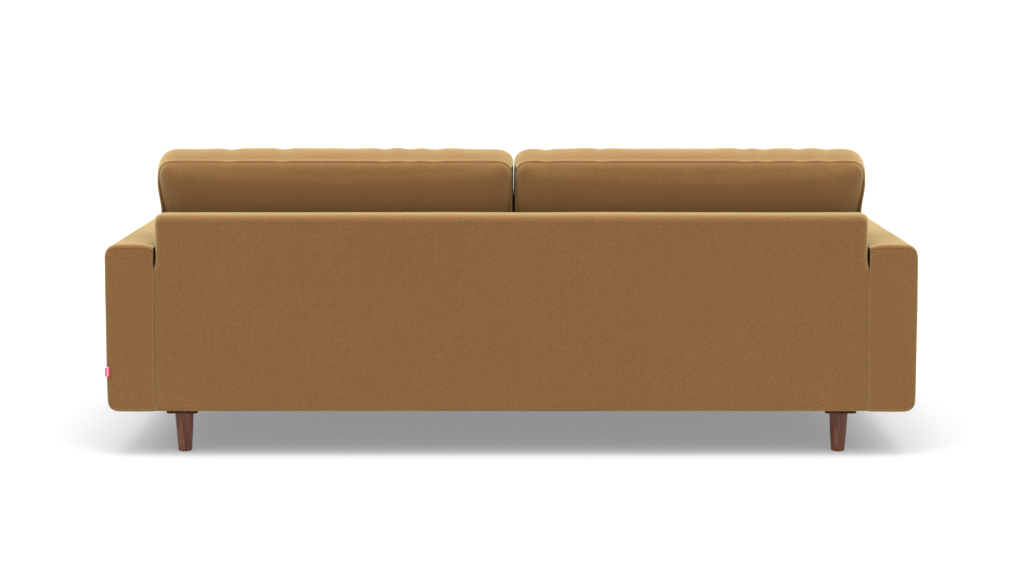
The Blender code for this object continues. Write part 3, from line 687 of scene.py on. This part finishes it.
def make_back(materials):
    """The back frame's tight cover: a rear face wrapped over the top edge, leaning inside."""
    low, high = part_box("back_cover")
    hem = low.z + 0.0006
    height = high.z - hem
    depth = BACK_THICKNESS
    loaf = Loaf(
        (low.x, high.x, hem, high.z),
        (0, depth),
        corners=(0.001, 0.001, 0.019, 0.019),
        edges=(0.0012, 0.0012, 0.0035, 0.019),
        us=stops(high.x - low.x, 0.030, PANEL_STEP),
        vs=stops(height, 0.030, PANEL_STEP, SLIT_BOTTOM - hem + SLIT_LINES),
        band=np.linspace(0, 1, 9)[1:-1],
    )
    x, v, w = loaf.points.T
    rear_share = w / depth
    up = (v - hem) / height
    inner_y = low.y + (high.y - depth - low.y) * up
    inner_z = BACK_FOOT_Z + (high.z - BACK_FOOT_Z) * up
    y = inner_y * (1 - rear_share) + high.y * rear_share
    z = inner_z * (1 - rear_share) + v * rear_share
    from_side = np.clip((high.x - np.abs(x)) / 0.017, 0, 1)
    rounding = smoothstep((z - SLIT_BOTTOM) / 0.025) * (1 - from_side) ** 2 * smoothstep((y - 0.42) / 0.03)
    y = y - 0.0150 * rounding
    near_side = np.clip(1 - (high.x - np.abs(x)) / 0.06, 0, 1)
    x = x + np.sign(x) * (joint_flare(z, y) * near_side - 0.0035 * rounding)
    world = np.column_stack([x, y, z])
    # No dark seams here; a painted highlight along the bottom border and on the edges beside the seams
    seam = np.where(loaf.seam > 0, -0.9 * (z < hem + 0.015), 0.55 * loaf.seam)
    back = mesh_object("back_upholstery", world, loaf.faces, materials["velvet"], seam)
    roughen(back, 3.5, 0.0014, 11)
    roughen(back, 22.0, 0.0004, 12)

    def open_below(centre, normal):
        return normal.z < -0.5 and centre.y < high.y - 0.014 and centre.z < BACK_FOOT_Z + 0.01

    arm_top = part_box("arm_cover_left")[1].z

    # Faces of the slit beside the arms, which take the painted gap shade
    def in_gap(centre, normal):
        return abs(normal.x) > 0.93 and centre.z < arm_top - 0.012

    remove_faces_where(back, open_below)
    shade_gap(back, materials["velvet_gap_shade"], in_gap)
    subdivide_and_wall(back, BACK_WALL)
    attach(back, "root")
    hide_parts("back_cover")


def make_border(materials):
    """The padded front rail below the seat, open behind and below."""
    low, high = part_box("front_border")
    loaf = Loaf(
        (low.x, high.x, low.z, high.z),
        (-high.y, -low.y),
        corners=(0.003, 0.003, 0.004, 0.004),
        edges=(0.005, 0.005, 0.010, 0.013),
        us=stops(high.x - low.x, 0.020, PANEL_STEP),
        vs=stops(high.z - low.z, 0.020, PANEL_STEP),
        band=np.linspace(0, 1, 4)[1:-1],
    )
    x, z, w = loaf.points.T
    up = np.clip((z - low.z) / (high.z - low.z), 0, 1)
    w = w + 0.003 * np.sin(math.pi * up) * (loaf.place == 0)
    world = np.column_stack([x, -w, z])
    border = mesh_object("front_border_upholstery", world, loaf.faces, materials["velvet"], 0 * loaf.seam)
    roughen(border, 5.0, 0.0010, 21)

    def open_side(centre, normal):
        behind = normal.y > 0.5 and centre.y > high.y - 0.010
        below = normal.z < -0.5 and centre.y > low.y + 0.016
        return behind or below

    remove_faces_where(border, open_side)
    subdivide_and_wall(border, BACK_WALL)
    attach(border, "root")
    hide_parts("front_border")


# Loose cushions


def dimples(u, v, tufts, depth, reach):
    """How far the cover is pulled in around its tufts, sharp in the middle with short pleats."""
    pulled = np.zeros(len(u))
    for k, (tuft_u, tuft_v) in enumerate(tufts):
        du, dv = u - tuft_u, v - tuft_v
        away = np.hypot(du, dv)
        turn = np.arctan2(dv, du)
        pleat = 0.10 * np.cos(5 * turn + 1.7 * k) * np.exp(-(((away - 0.030) / 0.022) ** 2))
        pulled = np.maximum(pulled, np.exp(-away / reach) + pleat)
    return depth * pulled


def tuft_pins(world, u, v, tufts, on_panel, radius):
    """Indices of the points round each tuft of a panel."""
    near = np.zeros(len(world), bool)
    for tuft_u, tuft_v in tufts:
        nearest = np.argmin(np.hypot(u - tuft_u, v - tuft_v) + 10 * ~on_panel)
        near |= np.linalg.norm(world - world[nearest], axis=1) < radius
    return np.flatnonzero(near)


def add_cloth(obj, pins):
    group = obj.vertex_groups.new(name="pins")
    group.add([int(i) for i in pins], 1.0, "REPLACE")
    cloth = obj.modifiers.new("Cloth", "CLOTH")
    settings = cloth.settings
    settings.vertex_group_mass = "pins"
    settings.quality = 5
    settings.mass = 0.3
    settings.tension_stiffness = 20
    settings.compression_stiffness = 20
    settings.shear_stiffness = 8
    settings.bending_stiffness = 0.6
    settings.use_pressure = True
    settings.uniform_pressure_force = SIM_PRESSURE
    settings.effector_weights.gravity = 0
    cloth.collision_settings.use_collision = False
    cloth.point_cache.frame_start = 1
    cloth.point_cache.frame_end = SIM_FRAMES


def inflate(cushions):
    """Runs the covers' cloth under a little pressure, and keeps the result as their shape.

    Each cushion comes with its pinned points and how far each point may move.
    """
    before = {obj.name: points_of(obj) for obj, _, _ in cushions}
    for obj, pins, _ in cushions:
        add_cloth(obj, pins)
    scene = bpy.context.scene
    scene.frame_start = 1
    scene.frame_end = SIM_FRAMES
    for number in range(1, SIM_FRAMES + 1):
        scene.frame_set(number)
    graph = bpy.context.evaluated_depsgraph_get()
    after = {obj.name: points_of(obj.evaluated_get(graph)) for obj, _, _ in cushions}
    for obj, _, caps in cushions:
        obj.modifiers.clear()
        obj.vertex_groups.clear()
        moved = after[obj.name] - before[obj.name]
        length = np.linalg.norm(moved, axis=1, keepdims=True)
        held = moved * np.minimum(1, caps[:, None] / np.maximum(length, 1e-9))
        set_points(obj, before[obj.name] + held)
    scene.frame_set(1)


# Back cushions: the rear face at the foot, its lean, and the thickness at foot and top
CUSHION_REAR_Y = 0.337
CUSHION_LEAN = math.tan(math.radians(7.0))
CUSHION_THICKNESS = (0.170, 0.160)
# Where the top edge is drawn in, as shares of the width from the outer end
TOP_PULLS = {"left": (0.20, 0.35, 0.64, 0.71, 0.78), "right": (0.10, 0.18, 0.28, 0.34, 0.75, 0.91)}
# The left cushion fills a little past the middle, and the right one gives way
GAP_SHIFT = 0.0066
# Below these heights the outer end narrows, and the inner end gives and the back draws in
NARROW_BELOW = 0.800
SLACK_BELOW = 0.840
# How far the covers swell out at the outer end, at the inner end and over the top
OUTER_BULGE = 0.0090
INNER_BULGE = 0.0060
TOP_BULGE = 0.0292

# Tufts: shares of a back cushion's width and heights above the floor, then places on the seat
BACK_TUFT_SHARES = (0.14, 0.38, 0.62, 0.86)
BACK_TUFT_HEIGHTS = (0.585, 0.735)
SEAT_TUFT_X = (-0.896, -0.640, -0.384, -0.128, 0.128, 0.384, 0.640, 0.896)
SEAT_TUFT_Y = (-0.300, -0.115, 0.070)

# Zips: the back zips' height above the foot, the seat zip's height, and the stretches kept clear
BACK_ZIP_UP = 0.045
BACK_ZIP_HALF = 0.403
SEAT_ZIP_Z = 0.380
SEAT_ZIP_HALF = 0.603
ZIP_HALF_WIDTH = 0.010
ZIP_SUNK = 0.0016
ZIP_LINES = (-0.0115, -0.0085, 0.0085, 0.0115)


class BackCushion:
    """The planes that a back cushion's cover is shaped between, and the panels it is sewn from."""

    def __init__(self, side):
        low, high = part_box(f"back_cushion_{side}_cover")
        frame_low, frame_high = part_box("back_cover")
        self.inner, self.outer = sorted((abs(low.x), abs(high.x)))
        self.bottom, self.top = low.z, high.z
        self.middle = (self.inner + self.outer) / 2
        self.zip_z = self.bottom + BACK_ZIP_UP
        self.seam_top = self.top - 0.0255
        self.rect = (self.inner + 0.0005, self.outer - 0.0035, self.bottom + 0.006, self.seam_top)
        self.frame_top = frame_high.z
        self.frame_foot_y = frame_low.y
        self.frame_top_y = frame_high.y - BACK_THICKNESS

    def rear(self, z):
        """Rear face of the CAD cushion."""
        return CUSHION_REAR_Y + CUSHION_LEAN * (z - self.bottom)

    def thickness(self, z):
        foot, top = CUSHION_THICKNESS
        return foot - (foot - top) * (z - self.bottom) / (self.top - self.bottom)

    def frame_face(self, z):
        """Inside face of the back frame, against which the cushion leans."""
        up = (z - BACK_FOOT_Z) / (self.frame_top - BACK_FOOT_Z)
        return self.frame_foot_y + (self.frame_top_y - self.frame_foot_y) * up

    def sewn(self):
        """Two flat panels and a band, 0 to 1 deep, with grid lines along the zip."""
        u0, u1, v0, v1 = self.rect
        zip_lines = [self.zip_z - v0 + d for d in (*ZIP_LINES, 0.0)]
        return Loaf(
            self.rect,
            (0, 1),
            corners=(0.026, 0.026, 0.040, 0.040),
            edges=(0.002, 0.002, 0.003, 0.003),
            us=stops(u1 - u0, 0.044, CUSHION_STEP),
            vs=stops(v1 - v0, 0.044, CUSHION_STEP, zip_lines),
            band=np.linspace(0, 1, 13)[1:-1],
            arc=1,
        )


def swell_band(side, loaf, across, up, u, z, depth):
    """Swells the band out between the panels, less where the top edge is drawn in."""
    out_u, out_v = loaf.out.T
    crown = (np.sin(math.pi * depth) * loaf.on_band) ** 0.75
    pulls = np.zeros(len(u))
    for share in TOP_PULLS[side]:
        pulls += np.exp(-(((1 - across - share) / 0.016) ** 2))
    top_bulge = TOP_BULGE - 0.0022 * pulls
    end_bulge = np.where(out_u > 0, OUTER_BULGE, INNER_BULGE)
    diagonal = 0.0050 * np.abs(2 * out_u * out_v) * (out_v > 0)
    u = u + crown * (out_u * end_bulge + np.sign(out_u) * diagonal)
    slope = (1 - np.abs(2 * depth - 1) ** 1.35) * loaf.on_band
    z = z + slope * np.where(out_v > 0, out_v * top_bulge, 0.0)
    z = z - 0.0024 * pulls * smoothstep((up - 0.93) / 0.07)
    return u, z


def shape_back_cushion(side, sign, velvet_material):
    """Gives the cover before the cloth runs, its pinned points, its form and its loaf."""
    form = BackCushion(side)
    loaf = form.sewn()
    u0, u1, v0, v1 = form.rect
    u, z, depth = loaf.points.T
    depth = np.clip(depth, 0, 1)
    across = (u - u0) / (u1 - u0)
    up = (z - v0) / (v1 - v0)
    drawn_in = 0.0085 * smoothstep((NARROW_BELOW - z) / 0.090) * across**3
    apart = 0.0045 * smoothstep((SLACK_BELOW - z) / 0.120) - GAP_SHIFT * sign
    u = u - drawn_in + apart * (1 - across) ** 3
    u, z = swell_band(side, loaf, across, up, u, z, depth)

    panel_u = 1 - np.abs(2 * across - 1) ** 5
    panel_v = 1 - np.abs(2 * up - 1) ** 4
    soft = np.clip(panel_u, 0, 1) * np.clip(panel_v, 0, 1)
    on_rear = (loaf.place == 0) & ~loaf.on_band
    tufts = [(u0 + share * (u1 - u0), height) for share in BACK_TUFT_SHARES for height in BACK_TUFT_HEIGHTS]
    y = form.rear(z) - (1 - depth) * form.thickness(z)
    rolled = 0.0140 * (1 - np.exp(-loaf.inset / 0.010)) + 0.0050 * (1 - np.exp(-loaf.inset / 0.035))
    rolled = rolled - 0.0200 * np.clip((SLACK_BELOW - z) / 0.135, 0, 1) ** 1.7
    y = y + rolled * on_rear
    y = y - loaf.on_last * (0.030 * soft - dimples(u, z, tufts, depth=0.050, reach=0.042) * soft)
    world = np.column_stack([sign * u, y, z])
    # On the inner end out of sight the seams are painted half as dark and get no painted highlight
    hidden = (across < 0.02) & (z < form.seam_top - 0.030)
    seam = np.where(hidden, 0.5 * np.maximum(loaf.seam, 0), loaf.seam)
    cushion = mesh_object(f"back_cushion_{side}_upholstery", world, loaf.faces, velvet_material, seam)
    pins = tuft_pins(world, u, z, tufts, loaf.on_last, radius=0.010)
    sewn = np.flatnonzero((loaf.seam > 0) & (loaf.place == 0))
    return cushion, np.union1d(pins, sewn), form, loaf


def hidden_side(sign, below):
    """Picks the faces of a back cushion's inner end, which lies against the other cushion."""

    # The faces it picks take the painted gap shade
    def test(centre, normal):
        return sign * normal.x < -0.70 and abs(centre.x + GAP_SHIFT) < 0.008 and centre.z < below

    return test


def settle_back_cushion(cushion, form, sign, loaf):
    """Keeps the swollen cover off the seat, the arms, the other cushion and the back frame."""
    x, y, z = points_of(cushion).T
    u = sign * x
    meeting_x = 0.0008 * np.sin(2 * math.pi * loaf.place) - GAP_SHIFT
    u = np.maximum(u, 0.0006 + meeting_x * sign)
    z = np.minimum(z, form.top + 0.0065)
    arm_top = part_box("arm_cover_left")[1].z
    beside_arm = smoothstep((arm_top + 0.02 - z) / 0.04)
    u = np.minimum(u, form.outer + 0.001 + (1 - beside_arm) * 0.012)
    z = np.maximum(z, form.bottom - 0.0005)
    above = smoothstep((z - form.frame_top + 0.004) / 0.030)
    y = np.minimum(y, form.frame_face(z) - 0.0022 + 0.022 * above)
    on_rear = (loaf.place == 0) & ~loaf.on_band
    off_zip = np.abs(z - form.zip_z)
    on_zip = on_rear & (off_zip < ZIP_HALF_WIDTH) & (np.abs(u - form.middle) < BACK_ZIP_HALF)
    near_zip = on_rear & (off_zip < 3 * ZIP_HALF_WIDTH)
    y = np.where(near_zip, np.minimum(y, form.rear(z) - 0.0002), y)
    y = np.where(on_zip, form.rear(z) - ZIP_SUNK, y)
    set_points(cushion, np.column_stack([sign * u, y, z]))


def shape_seat_cushion(velvet_material):
    """Gives the cover before the cloth runs, its pinned points and its loaf."""
    low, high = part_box("seat_cushion_cover")
    u0, u1 = low.x + 0.003, high.x - 0.003
    v0, v1 = low.y + 0.004, high.y - 0.003
    seam_low, seam_high = low.z + 0.004, high.z - 0.012
    zip_lines = [(seam_high - SEAT_ZIP_Z + d) / (seam_high - seam_low) for d in ZIP_LINES]
    band = np.sort(np.concatenate([[0.05, 0.14, 0.26, 0.36, 0.46, 0.62, 0.74, 0.86, 0.95], zip_lines]))
    loaf = Loaf(
        (u0, u1, v0, v1),
        (seam_low, seam_high),
        corners=(0.034, 0.034, 0.026, 0.026),
        edges=(0.003, 0.003, 0.003, 0.003),
        us=stops(u1 - u0, 0.045, SEAT_STEP),
        vs=stops(v1 - v0, 0.045, SEAT_STEP),
        band=band,
        arc=1,
    )
    x, y, z = loaf.points.T
    across = (x - u0) / (u1 - u0)
    along = (y - v0) / (v1 - v0)
    soft = np.clip(1 - np.abs(2 * across - 1) ** 8, 0, 1) * np.clip(1 - np.abs(2 * along - 1) ** 4, 0, 1)
    on_top = (loaf.place == 0) & ~loaf.on_band
    tufts = [(tuft_x, tuft_y) for tuft_x in SEAT_TUFT_X for tuft_y in SEAT_TUFT_Y]
    z = z + on_top * (0.024 * soft - dimples(x, y, tufts, depth=0.042, reach=0.050) * soft)
    out_u, out_v = loaf.out.T
    crown = np.sin(math.pi * loaf.place) ** 0.8 * loaf.on_band
    x = x + crown * out_u * 0.003
    y = y + crown * out_v * np.where(out_v < 0, 0.011, 0.0)
    world = np.column_stack([x, y, z])
    cushion = mesh_object("seat_cushion_upholstery", world, loaf.faces, velvet_material, loaf.seam)
    pins = tuft_pins(world, x, y, tufts, on_top, radius=0.012)
    sewn = (loaf.seam > 0) & ((loaf.place == 1) | (np.abs(x) > u1 - 0.030))
    return cushion, np.union1d(pins, np.flatnonzero(sewn)), loaf


def settle_seat_cushion(cushion, loaf):
    """Flat on the deck, pressed between the arms and under the back cushions."""
    low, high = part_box("seat_cushion_cover")
    x, y, z = points_of(cushion).T
    x = np.clip(x, low.x - 0.001, high.x + 0.001)
    z = np.maximum(z, low.z - 0.0008)
    under_back = smoothstep((y - 0.125) / 0.05)
    z = np.minimum(z, high.z + 0.020 * (1 - under_back))
    y = np.minimum(y, high.y)
    on_rear = loaf.on_band & (y > high.y - 0.02)
    on_zip = on_rear & (np.abs(z - SEAT_ZIP_Z) < ZIP_HALF_WIDTH) & (np.abs(x) < SEAT_ZIP_HALF)
    y = np.where(on_zip, high.y - ZIP_SUNK, y)
    set_points(cushion, np.column_stack([x, y, z]))


def finish_cushion(cushion, body, nodes, seed):
    """Seams, creases and smoothing, then what the cushion rides on and stands for."""
    sink_seams(cushion, CUSHION_SEAM_DEPTH)
    roughen(cushion, 11.0, 0.0016, seed)
    roughen(cushion, 45.0, 0.0005, seed + 1)
    subdivide_and_wall(cushion)
    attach(cushion, body)
    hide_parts(*nodes)


def make_cushions(materials):
    """Shapes all three covers, runs their cloth together, and settles them in place."""
    seat, seat_pins, seat_loaf = shape_seat_cushion(materials["velvet"])
    waiting = [(seat, seat_pins, np.full(len(seat_loaf.points), SIM_CAP))]
    backs = []
    for side, sign in SIDES:
        cushion, pins, form, loaf = shape_back_cushion(side, sign, materials["velvet"])
        caps = np.where(loaf.on_last, SIM_CAP, REAR_CAP)
        waiting.append((cushion, pins, caps))
        backs.append((side, sign, cushion, form, loaf))
    inflate(waiting)
    settle_seat_cushion(seat, seat_loaf)
    finish_cushion(seat, "seat_cushion", ["seat_cushion_cover", "seat_cushion_core"], 31)
    for side, sign, cushion, form, loaf in backs:
        settle_back_cushion(cushion, form, sign, loaf)
        shade_gap(cushion, materials["velvet_gap_shade"], hidden_side(sign, form.seam_top - 0.020))
        nodes = [f"back_cushion_{side}_cover", f"back_cushion_{side}_core"]
        finish_cushion(cushion, f"back_cushion_{side}", nodes, 41 + 3 * sign)


# Feet

# How much wider a foot is than its CAD radius, and again at the top; the share of it left below
LEG_MARGIN = 0.0004
LEG_TOP_FLARE = 0.0010
FOOT_SHARE = 0.744
LEG_SWELL = 0.0006
LEG_CLEARANCE = 0.0003
GLIDE_RECESS = 0.0165
GLIDE_PIN_BORE = 0.0023
SCREW_INSET = 0.012


def turned(name, profile, place, material, steps=72):
    """A profile of (radius, height) pairs spun about the vertical through place."""
    points, faces = [], []
    rings = []
    for radius, height in profile:
        if radius == 0:
            rings.append([len(points)])
            points.append((place[0], place[1], height))
            continue
        start = len(points)
        for k in range(steps):
            turn = 2 * math.pi * k / steps
            points.append((place[0] + radius * math.cos(turn), place[1] + radius * math.sin(turn), height))
        rings.append(list(range(start, start + steps)))
    for upper, lower in zip(rings, rings[1:]):
        for k in range(steps):
            n = k + 1
            face = [upper[k % len(upper)], lower[k % len(lower)]]
            face += [lower[n % len(lower)], upper[n % len(upper)]]
            faces.append(list(dict.fromkeys(face)))
    obj = mesh_object(name, points, faces, material)
    obj.data.set_sharp_from_angle(angle=math.radians(40))
    return obj


def rounded_end(radius, height, size, going_down, steps=4):
    """A quarter-round between a level face and the side of a turned piece."""
    found = []
    for k in range(steps + 1):
        turn = math.pi / 2 * k / steps
        if going_down:
            found.append((radius - size + size * math.sin(turn), height - size + size * math.cos(turn)))
        else:
            found.append((radius - size + size * math.cos(turn), height + size - size * math.sin(turn)))
    return found


def make_leg(end, side, materials):
    """A tapered foot, bored for its bolt and hollowed below for the glide and its pin."""
    name = f"leg_{end}_{side}"
    low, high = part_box(name)
    bolt_low, bolt_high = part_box(f"leg_bolt_{end}_{side}")
    pin_low, pin_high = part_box(f"leg_glide_{end}_{side}")
    place = ((low.x + high.x) / 2, (low.y + high.y) / 2)
    turned_radius = (high.x - low.x) / 2 + LEG_MARGIN
    top_radius = turned_radius + LEG_TOP_FLARE
    foot_radius = turned_radius * FOOT_SHARE
    foot = pin_low.z + 0.0010
    bore = (bolt_high.x - bolt_low.x) / 2 + LEG_CLEARANCE
    bore_end = bolt_low.z - LEG_CLEARANCE
    pin_end = pin_high.z + LEG_CLEARANCE
    profile = [(0, bore_end), (bore, bore_end), (bore, high.z)]
    profile += rounded_end(top_radius, high.z, 0.0022, True)
    for k in range(1, 12):
        share = k / 12
        height = high.z + (foot - high.z) * share
        swell = LEG_SWELL * math.sin(math.pi * share)
        profile.append((top_radius + (foot_radius - top_radius) * share + swell, height))
    profile += rounded_end(foot_radius, foot, 0.0012, False)
    profile += [(GLIDE_RECESS, foot), (GLIDE_RECESS, low.z), (GLIDE_PIN_BORE, low.z)]
    profile += [(GLIDE_PIN_BORE, pin_end), (0, pin_end)]
    leg = turned(f"turned_{name}", profile, place, materials["walnut"])
    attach(leg, "root")
    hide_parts(name)


def screw_head(seat):
    """A domed head with a round recess, below the face it is driven into."""
    return [
        (0, seat),
        (0.0045, seat),
        (0.0043, seat - 0.0010),
        (0.0034, seat - 0.0019),
        (0.0016, seat - 0.0022),
        (0.0013, seat - 0.0010),
        (0, seat - 0.0008),
    ]


def rise(edge):
    return abs((edge.verts[0].co - edge.verts[1].co).z)


def make_plate(end, side, materials):
    """A square walnut plate with eased edges, and four screws up into the frame."""
    name = f"leg_plate_{end}_{side}"
    low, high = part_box(name)
    shape = bmesh.new()
    bmesh.ops.create_cube(shape, size=1)
    bmesh.ops.scale(shape, vec=high - low, verts=shape.verts)
    upright = [edge for edge in shape.edges if rise(edge) > 0.001]
    bmesh.ops.bevel(shape, geom=upright, offset=0.006, segments=5, affect="EDGES", profile=0.5)
    around = [edge for edge in shape.edges if rise(edge) < 1e-6 and edge.calc_face_angle(0) > 1]
    bmesh.ops.bevel(shape, geom=around, offset=0.0012, segments=2, affect="EDGES", profile=0.5)
    bmesh.ops.translate(shape, verts=shape.verts, vec=(low + high) / 2)
    mesh = bpy.data.meshes.new(f"eased_{name}")
    shape.to_mesh(mesh)
    shape.free()
    # Its walnut is the darker copy that paints shade under the body
    mesh.materials.append(materials["walnut_plate_shaded"])
    mesh.shade_smooth()
    mesh.set_sharp_from_angle(angle=math.radians(35))
    plate = link(f"eased_{name}", mesh)
    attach(plate, "root")
    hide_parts(name)
    middle = (low + high) / 2
    reach = (high.x - low.x) / 2 - SCREW_INSET
    corners = [(dx, dy) for dx in (-reach, reach) for dy in (-reach, reach)]
    for number, (dx, dy) in enumerate(corners, 1):
        name = f"plate_screw_{end}_{side}_{number}"
        place = (middle.x + dx, middle.y + dy)
        screw = turned(name, screw_head(low.z - 0.0003), place, materials["zinc_steel"], 24)
        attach(screw, "root")


# Tag


def make_tag(material):
    """A ribbon folded over on itself, its two ends sewn into the arm's rear seam."""
    low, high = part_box("label_tag")
    half_gap = 0.0008
    fold = TAG_TIP - 0.001
    middle_y = (low.y + high.y) / 2 + 0.0006
    straight = np.linspace(TAG_ROOT, fold, 8)
    path = [(x, middle_y - half_gap) for x in straight]
    for k in range(1, 6):
        turn = -math.pi / 2 + math.pi * k / 6
        path.append((fold + 0.001 * math.cos(turn), middle_y + half_gap * math.sin(turn)))
    path += [(x, middle_y + half_gap) for x in straight[::-1]]
    rows = 11
    points, faces = [], []
    for x, y in path:
        near_end = max(x - (fold - 0.0035), TAG_ROOT + 0.0030 - x, 0.0) / 0.0035
        inset = 0.0030 * min(near_end, 1.0)
        for r in range(rows):
            z = low.z + inset + (high.z - low.z - 2 * inset) * r / (rows - 1)
            bow = 0.0005 * math.sin(math.pi * r / (rows - 1))
            points.append((x, y + bow, z))
    for i in range(len(path) - 1):
        for r in range(rows - 1):
            a = i * rows + r
            faces.append((a, a + rows, a + rows + 1, a + 1))
    tag = mesh_object("folded_tag", points, faces, material)
    solid = tag.modifiers.new("Ribbon", "SOLIDIFY")
    solid.thickness = 0.0004
    solid.offset = 0
    apply_modifiers(tag)
    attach(tag, "root")
    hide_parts("label_tag")


# Stage


def make_stage():
    mesh = bpy.data.meshes.new("floor")
    side = FLOOR_HALF
    corners = [(-side, -side, 0), (side, -side, 0), (side, side, 0), (-side, side, 0)]
    mesh.from_pydata(corners, [], [(0, 1, 2, 3)])
    floor = link("floor", mesh)
    n = Nodes("pale_floor")
    n.shader.inputs["Specular IOR Level"].default_value = 0.0
    grey = (FLOOR_WHITE, FLOOR_WHITE, FLOOR_WHITE, 1.0)
    white = (1, 1, 1, 1)
    mesh.materials.append(n.finish(grey, 0.9, emission_color=white, emission_strength=FLOOR_GLOW))

    world = bpy.data.worlds.new("studio")
    world.use_nodes = True
    world.node_tree.nodes["Background"].inputs["Color"].default_value = (1, 1, 1, 1)
    world.node_tree.nodes["Background"].inputs["Strength"].default_value = SKY
    bpy.context.scene.world = world
    for name, strength, spread, towards_y, towards_x in LIGHTS:
        data = bpy.data.lights.new(name, "SUN")
        data.energy = strength
        data.angle = math.radians(spread)
        light = link(name, data)
        light.rotation_euler = (-math.radians(towards_y), math.radians(towards_x), 0)
    bpy.context.scene.view_settings.view_transform = "Standard"


def make_camera():
    data = bpy.data.cameras.new("camera")
    data.lens = CAMERA_LENS
    data.sensor_width = 36.0
    data.clip_end = 2 * FLOOR_HALF
    camera = link("camera", data)
    camera.location = CAMERA_PLACE
    camera.rotation_euler = (math.pi / 2 - CAMERA_PITCH, 0, math.pi)
    bpy.context.scene.camera = camera


def dress_cad_nodes(materials):
    """Every node that stays gets the finish of its slot."""
    for part in frame["record"]["subparts"]:
        node = frame["nodes"][part["node"]]
        node.data.materials.clear()
        node.data.materials.append(materials[part["material_slot"]])


make_camera()
make_stage()
materials = make_materials()
dress_cad_nodes(materials)
for side, sign in SIDES:
    make_arm(side, sign, materials)
make_back(materials)
make_border(materials)
make_cushions(materials)
for side, _ in SIDES:
    for end in ENDS:
        make_leg(end, side, materials)
        make_plate(end, side, materials)
make_tag(materials["tag_cloth"])
